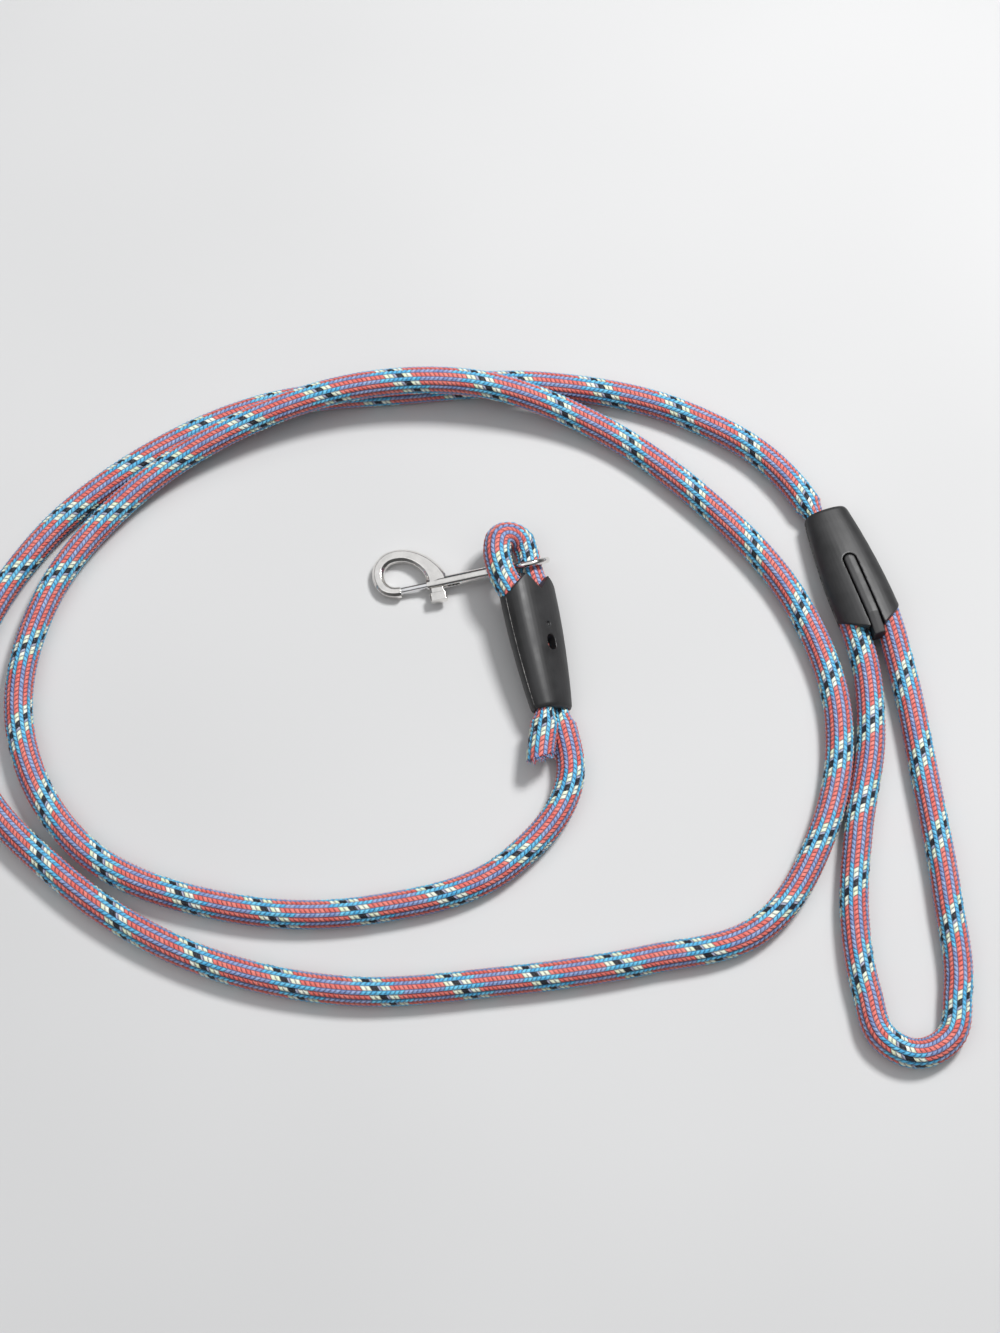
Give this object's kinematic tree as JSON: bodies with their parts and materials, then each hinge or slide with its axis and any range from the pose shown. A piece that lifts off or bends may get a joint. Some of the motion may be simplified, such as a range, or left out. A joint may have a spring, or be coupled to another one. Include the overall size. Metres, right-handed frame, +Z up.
{
  "type": "lead rope",
  "caption": "Round braided lead rope with a hand loop, two-part moulded clamps over the rope ends, and a sprung bolt snap whose swivel eye is held in a small rope loop.",
  "frame": {"origin": "on the surface that the rope lies on, below the middle of the whole object's box", "axes": "+Z up from that surface, +X towards the side with the hand loop, +Y away from the hand loop's end towards the crossing"},
  "size_m": [0.4604, 0.3418, 0.0272],
  "materials": {
    "braided_rope": "round braid of coral and periwinkle yarns with a pale, sky-blue and black tracer",
    "clamp_plastic": "black, fine spark-eroded texture, slightly satin",
    "nickel_casting": "bright nickel plate on a die casting",
    "turned_steel": "turned, nickel plated",
    "spring_steel": "drawn wire"
  },
  "bodies": {
    "rope_and_clamps": {"rope_main_run": "braided_rope", "rope_hand_loop": "braided_rope", "rope_snap_loop": "braided_rope", "hand_clamp_slotted_half": "clamp_plastic", "hand_clamp_plain_half": "clamp_plastic", "snap_clamp_slotted_half": "clamp_plastic", "snap_clamp_plain_half": "clamp_plastic"},
    "eye": {"swivel_eye": "nickel_casting"},
    "snap": {"snap_hook": "nickel_casting", "bolt_spring": "spring_steel"},
    "bolt": {"snap_bolt": "turned_steel", "thumb_stud": "nickel_casting"}
  },
  "joints": [
    {"name": "eye_swing", "type": "hinge", "parent": "rope_and_clamps", "child": "eye", "pos_m": [0.03531, 0.06573, 0.00924], "axis": [-0.1908, 0.9816, 0], "range_deg": [-70, 3]},
    {"name": "swivel_turn", "type": "hinge", "parent": "eye", "child": "snap", "pos_m": [0.03531, 0.06573, 0.00924], "axis": [0.978, 0.1901, 0.0854], "continuous": true},
    {"name": "bolt_slide", "type": "slide", "parent": "snap", "child": "bolt", "axis": [0.978, 0.1901, 0.0854], "range_m": [0, 0.008], "stiffness_N_per_m": 150, "springref_m": -0.01, "deforming": ["bolt_spring"]}
  ]
}
